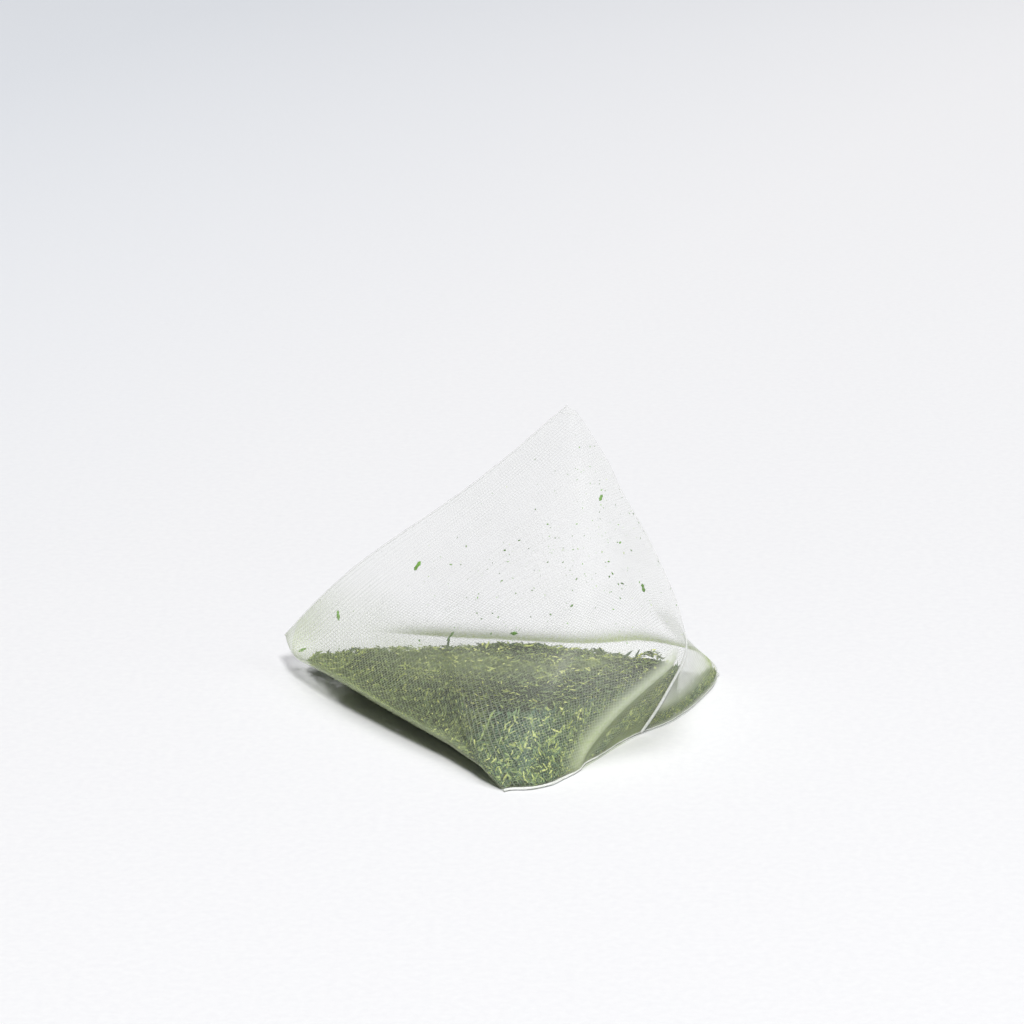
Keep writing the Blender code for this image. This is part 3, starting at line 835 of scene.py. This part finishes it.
def cool_mix(p):
    """Bluer leaf in the front corner and right of the middle."""
    a = np.exp(-(((p[:, 0] - 2) / 7) ** 2 + ((p[:, 1] + 20) / 7) ** 2))
    b = np.exp(-(((p[:, 0] - 11) / 7) ** 2 + ((p[:, 1] + 9) / 7) ** 2))
    c = np.exp(-((p[:, 0] - 26) / 5) ** 2) * 0.5
    patch = 0.5 + 0.5 * np.sin(0.5 * p[:, 0] + 1.0) * np.cos(0.6 * p[:, 1] + 0.4 * p[:, 2])
    mid = np.clip(0.85 * a + 0.60 * b + c + 0.25 * patch, 0, 1)
    return np.clip(mid + RNG.normal(0, 0.22, len(p)), 0, 1)


def wall_leaf(name, n, u_range, v_range, mat, depths, thin=1.0):
    u, v = wall_samples(n, u_range, v_range, 0.0)
    p, nn = surface_at(u, v)
    # larger needles in the front corner, and they touch the cloth there
    near = np.exp(-((p[:, 1] + 24) / 8.0) ** 2)
    right = smooth(-4, 6, p[:, 0])
    length = np.clip(RNG.lognormal(-0.38 + 0.20 * right, 0.48, n) * (1 + 1.3 * near), 0.30, 4.0)
    tint = tint_mix(n)
    # paler and yellower bits right of the ridge
    tint = np.clip(tint + 0.16 * smooth(0.36, 0.46, u) * (u < 1.0), 0, 1)
    length = np.where(tint > 0.62, length * (0.55 + 0.45 * near), length)
    depth = RNG.uniform(*depths, n) * (1 - 0.5 * near)
    ax = random_tangent(nn, n) - nn * RNG.uniform(-0.12, 0.12, n)[:, None]
    # a leaning of the needles that changes slowly from place to place
    flow = np.stack([np.cos(0.22 * p[:, 1] + 0.9), np.sin(0.20 * p[:, 0]),
                     np.sin(0.16 * (p[:, 0] + p[:, 1])) - 0.3], 1)
    ax = ax + flow * 0.7
    ax -= (ax * nn).sum(1, keepdims=True) * nn * 0.9
    width = np.clip((0.13 + 0.13 * length * RNG.uniform(0.5, 1.3, n)) * thin, 0.12, 0.50)
    c = p - nn * (depth + width * 0.3)[:, None]
    return slivers(name, c, ax, nn, length, width, width * 0.55, tint, mat,
                   RNG.uniform(-0.5, 0.5, n), cool_mix(c))


def build_leaf(mat):
    made = []
    # pressed against the wall
    made.append(wall_leaf("leaf_at_left", 9600, (-0.5, 0.16), (0.004, 0.97), mat, (0.10, 0.9)))
    made.append(wall_leaf("leaf_at_right", 9600, (0.16, 1.02), (0.004, 0.60), mat, (0.10, 0.9)))
    # behind and below
    made.append(wall_leaf("leaf_at_back", 5200, (1.0, 1.52), (0.02, 0.97), mat, (0.2, 0.9), 1.2))
    # the top of the heap
    n = 8000
    th = RNG.uniform(0, 2 * math.pi, n)
    rho = np.sqrt(RNG.uniform(0, 1, n))
    c = np.zeros((n, 3))
    table = {}
    for i in range(n):
        key = int(th[i] / (2 * math.pi) * 360)
        if key not in table:
            t = (key + 0.5) / 360 * 2 * math.pi
            top = 4.0
            for _ in range(8):
                r = wall_distance(t, max(top, 0.6), 0.5)
                top += (float(heap(CX + r * math.cos(t), CY + r * math.sin(t))) - top) * 0.6
            table[key] = r
        r = rho[i] * table[key]
        c[i, 0], c[i, 1] = CX + r * math.cos(th[i]), CY + r * math.sin(th[i])
    deep = heap(c[:, 0], c[:, 1])
    c = c[RNG.rand(n) < 0.03 + smooth(0.5, 1.3, deep)]
    # the steep flank towards the pocket needs more leaf for its plan area
    share = pocket_share(c[:, 0], c[:, 1])
    steep = np.repeat(c[(share > 0.01) & (share < 0.98)], 3, axis=0)
    steep[:, :2] += RNG.normal(0, 0.35, (len(steep), 2))
    c = np.concatenate([c, steep])[:9800]
    n = len(c)
    c[:, 2] = heap(c[:, 0], c[:, 1]) + RNG.normal(-0.20, 0.14, n)
    length = np.clip(RNG.lognormal(-0.25, 0.45, n), 0.30, 2.0)
    up = np.tile((0.0, 0.0, 1.0), (n, 1))
    ax = random_tangent(up, n)
    ax[:, 2] = RNG.normal(0, 0.16, n)
    width = np.clip(0.12 + 0.13 * length * RNG.uniform(0.5, 1.4, n), 0.12, 0.46)
    made.append(slivers("leaf_on_heap", c, ax, up, length, width, width * 0.6,
                        tint_mix(n), mat, RNG.uniform(-0.5, 0.5, n), cool_mix(c) * 0.6))
    # a few stalks and curled pieces that stand out of the heap's top line
    place = ((-16.2, 13.0, 1.5, 15), (-12.9, 12.2, 1.1, -35), (-7.1, 9.6, 1.9, 78),
             (13.7, 3.4, 1.2, -60), (15.6, 2.6, 1.6, 12), (17.2, 2.1, 2.0, 36),
             (18.6, 1.6, 1.3, 60), (-20.5, 17.4, 1.4, 20),
             (1.6, 6.6, 1.2, 12), (5.4, 5.9, 1.1, -15))
    c = np.array([(x, y, float(heap(x, y)) + 0.05 + 0.32 * size * abs(math.sin(math.radians(turn))))
                  for x, y, size, turn in place])
    ax = np.array([(math.cos(math.radians(turn)), 0.15, math.sin(math.radians(turn)))
                   for _, _, _, turn in place])
    size = np.array([q[2] for q in place])
    made.append(slivers("heap_stalks", c, ax, np.tile((0.0, -1.0, 0.0), (len(place), 1)), size,
                        0.24 + 0.10 * size, 0.18 + 0.05 * size, np.full(len(place), 0.20), mat,
                        np.full(len(place), 0.2), np.full(len(place), 0.6)))
    # single pale needles that lie against the cloth near the front corner
    place = ((0.181, 0.127, 3.2, 14, 0.70), (0.170, 0.136, 1.6, -30, 0.98),
             (0.108, 0.042, 1.5, 5, 0.97), (0.130, 0.060, 1.8, 70, 0.86),
             (0.085, 0.075, 2.2, 120, 0.80), (0.150, 0.085, 2.4, 150, 0.60),
             (0.060, 0.110, 2.0, 40, 0.74), (0.210, 0.105, 2.0, 60, 0.55),
             (0.120, 0.160, 2.2, 100, 0.66), (0.030, 0.060, 1.8, 80, 0.90),
             (0.240, 0.170, 1.6, 20, 0.90), (0.360, 0.060, 1.5, 50, 0.95),
             (0.420, 0.110, 1.7, 65, 0.85), (0.470, 0.070, 1.5, 100, 0.80))
    u, v, size, turn, tint = (np.array([q[k] for q in place]) for k in range(5))
    p, nn = surface_at(u, v)
    a, _ = surface_at(u + 0.01, v)
    a = (a - p) / np.linalg.norm(a - p, axis=1, keepdims=True)
    b = np.cross(nn, a)
    turn = np.radians(turn)[:, None]
    made.append(slivers("pale_needles", p - nn * 0.16, a * np.cos(turn) + b * np.sin(turn), nn,
                        size, 0.20 + 0.10 * size, 0.10 + 0.03 * size, tint, mat,
                        np.full(len(place), 0.35), np.full(len(place), 0.45)))
    return made


def build_bits(mat, bright):
    """Fragments that cling to the inside of the clear wall: the larger ones."""
    named = (("leaf_bit_bright", 1.953, 0.915, 1.5, 0.85, 20, 0.62),
             ("leaf_bit_left_edge", 1.692, 0.945, 1.4, 0.70, 75, 0.55),
             ("leaf_bit_corner", 1.585, 0.925, 1.1, 0.65, 10, 0.45),
             ("stem_sliver", 1.992, 0.611, 1.5, 0.45, 20, 0.20),
             ("leaf_bit_middle", 0.131, 0.487, 1.2, 0.60, -30, 0.40),
             ("leaf_bit_upper", 0.458, 0.734, 1.0, 0.55, 35, 0.50),
             ("leaf_bit_right", 0.453, 0.469, 1.1, 0.60, 80, 0.35))
    made = []
    for name, u, v, length, width, turn, tint in named:
        p, n = surface_at(np.array([u]), np.array([v]))
        p, n = p[0], n[0]
        a, _ = surface_at(np.array([u + 0.01]), np.array([v]))
        across = a[0] - p
        across /= np.linalg.norm(across)
        alng = np.cross(n, across)
        c, s = math.cos(math.radians(turn)), math.sin(math.radians(turn))
        ex, ey = across * c + alng * s, alng * c - across * s
        r = np.random.RandomState(int(u * 1000 + v * 100))
        nx, ny = 14, 8
        verts, faces = [], []
        for side in (0, 1):
            for i in range(nx + 1):
                t = i / nx * 2 - 1
                w = (1 - abs(t) ** 2.4) ** 0.6 * (0.75 + 0.25 * math.sin(t * 5 + u * 9))
                for j in range(ny + 1):
                    q = j / ny * 2 - 1
                    lx = t * length / 2 + 0.05 * r.normal()
                    ly = q * width / 2 * w + 0.03 * r.normal()
                    curlz = -0.16 * (q * q + 0.5 * t * t) * width + 0.02 * r.normal()
                    lz = curlz + (0.05 if side else -0.05) * (1 - q * q)
                    verts.append(p - n * 0.42 + ex * lx + ey * ly + n * lz)
        per = (nx + 1) * (ny + 1)
        for side in (0, 1):
            for i in range(nx):
                for j in range(ny):
                    a0 = side * per + i * (ny + 1) + j
                    quad = (a0, a0 + 1, a0 + ny + 2, a0 + ny + 1)
                    faces.append(quad if side == 0 else quad[::-1])
        ob = mesh_object(name + "_curled", np.array(verts) * MM, faces, bright,
                         {"tint": ("FLOAT", np.full(len(verts), tint))})
        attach(ob, "root")
        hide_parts(name)
        made.append(ob)
    return made


def build_specks(mat):
    """Fine grains on the inside of the clear wall, thickest right of the middle."""
    n = 420
    u = np.concatenate([RNG.normal(0.33, 0.14, 150), RNG.uniform(-0.4, 0.55, 200),
                        RNG.uniform(0.55, 1.2, 70)])
    v = np.concatenate([RNG.normal(0.62, 0.12, 150), RNG.uniform(0.32, 0.95, 200),
                        RNG.uniform(0.2, 0.9, 70)])
    v = np.clip(v, 0.05, 0.97)
    p, nn = surface_at(u, v)
    length = np.clip(RNG.lognormal(-1.75, 0.45, n), 0.08, 0.55)
    ax = random_tangent(nn, n)
    c = p - nn * 0.16
    return slivers("leaf_grains", c, ax, nn, length, length * 0.6, length * 0.4,
                   np.clip(RNG.normal(0.45, 0.2, n), 0.1, 0.9), mat, np.zeros(n))


# ----------------------------------------------------------------- floor ---
def floor_material():
    m = Nodes("pale_table")
    co = m.tree.nodes.new("ShaderNodeTexCoord").outputs["Object"]
    n = m.noise(co, 900.0, 4.0, 0.65)
    colour = m.ramp(n, [(0.3, lin(241, 241, 244)), (0.7, lin(246, 246, 248))])
    # painted shade: the table's colour darkens towards the far left, where less light falls
    sep = m.tree.nodes.new("ShaderNodeSeparateXYZ")
    m.link(co, sep.inputs[0])
    painted_shade_far_left = m.math("MULTIPLY_ADD", sep.outputs["X"], -2.2, -0.20)
    painted_shade_far_left = m.math("ADD", painted_shade_far_left, sep.outputs["Y"])
    painted_shade_far_left = m.math("MULTIPLY", painted_shade_far_left, 1 / 0.50, clamp=True)
    # painted light: the table's colour pales towards the back, where the lamps give less light
    back = m.math("MULTIPLY_ADD", sep.outputs["Y"], 2.4, -0.2, clamp=True)
    colour = m.mix(back, colour, (*lin(252, 252, 255), 1.0))
    colour = m.mix(painted_shade_far_left, colour, (*lin(236, 239, 245), 1.0))
    p = m.tree.nodes.new("ShaderNodeBsdfPrincipled")
    m.link(colour, p.inputs["Base Color"])
    p.inputs["Roughness"].default_value = 0.9
    p.inputs["Specular IOR Level"].default_value = 0.1
    bump = m.tree.nodes.new("ShaderNodeBump")
    bump.inputs["Strength"].default_value = 0.15
    bump.inputs["Distance"].default_value = 0.0003
    m.link(n, bump.inputs["Height"])
    m.link(bump.outputs["Normal"], p.inputs["Normal"])
    m.link(p.outputs[0], m.out.inputs["Surface"])
    return m.mat


def area_light(name, loc, target, size, energy, colour=(1, 1, 1), size_y=None):
    d = bpy.data.lights.new(name, "AREA")
    d.shape = "RECTANGLE"
    d.size = size
    d.size_y = size_y or size
    d.energy = energy
    d.color = colour
    o = bpy.data.objects.new(name, d)
    bpy.context.scene.collection.objects.link(o)
    o.location = loc
    o.rotation_euler = (Vector(target) - Vector(loc)).to_track_quat("-Z", "Y").to_euler()
    return o


def build_stage():
    bpy.ops.mesh.primitive_plane_add(size=8.0, location=(0, 0, 0))
    floor = bpy.context.object
    floor.name = "table_top"
    floor.data.materials.append(floor_material())
    w = bpy.data.worlds.new("studio")
    w.use_nodes = True
    bg = w.node_tree.nodes["Background"]
    bg.inputs["Color"].default_value = (0.94, 0.955, 1.0, 1)
    bg.inputs["Strength"].default_value = 0.05
    bpy.context.scene.world = w
    area_light("soft_key", (0.46, -2.00, 2.52), (0, 0, 0.01), 0.60, 82.0, (1.0, 1.0, 0.99))
    area_light("soft_top", (0.15, 0.25, 2.70), (0, 0, 0), 1.5, 26.0, (1.0, 1.0, 1.0))
    area_light("soft_right", (2.20, -1.20, 1.90), (0, 0, 0), 0.9, 12.0, (1.0, 1.0, 1.0))

    K = 58.0 / 60.0
    cam = bpy.data.cameras.new("camera")
    cam.sensor_width = 36.0
    cam.lens = 4344.4 / 1024 * 36.0
    cam.clip_start = 0.01
    cam.clip_end = 50
    o = bpy.data.objects.new("camera", cam)
    bpy.context.scene.collection.objects.link(o)
    e = math.radians(17.0)
    target = Vector((1.664, 0.0, 31.38)) * K * MM
    o.location = target + Vector((0, -math.cos(e), math.sin(e))) * 600 * K * MM
    o.rotation_euler = (target - o.location).to_track_quat("-Z", "Y").to_euler()
    bpy.context.scene.camera = o
    sc = bpy.context.scene
    sc.view_settings.view_transform = "Standard"
    sc.cycles.transparent_max_bounces = 24


def main():
    leaf = leaf_material("dry_leaf", LEAF_STOPS, 0.75, COOL_STOPS)
    bright = leaf_material("leaf_fragment", [(0.0, lin(52, 84, 30)), (0.35, lin(96, 142, 50)),
                                             (0.6, lin(124, 182, 66)), (1.0, lin(196, 212, 120))])
    core_mat = leaf_material("leaf_mass", [(0.0, lin(24, 32, 24)), (0.5, lin(52, 64, 42)),
                                           (1.0, lin(96, 108, 62))], 0.9)
    bag = build_bag(mesh_material())
    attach(bag, "root")
    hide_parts("mesh_bag")
    welds = build_welds()
    for w in welds:
        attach(w, "root")
    core = build_core(core_mat)
    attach(core, "root")
    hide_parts("tea_leaf_fill")
    for o in build_leaf(leaf):
        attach(o, "root")
    build_bits(leaf, bright)
    grains = build_specks(bright)
    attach(grains, "root")
    build_stage()


main()
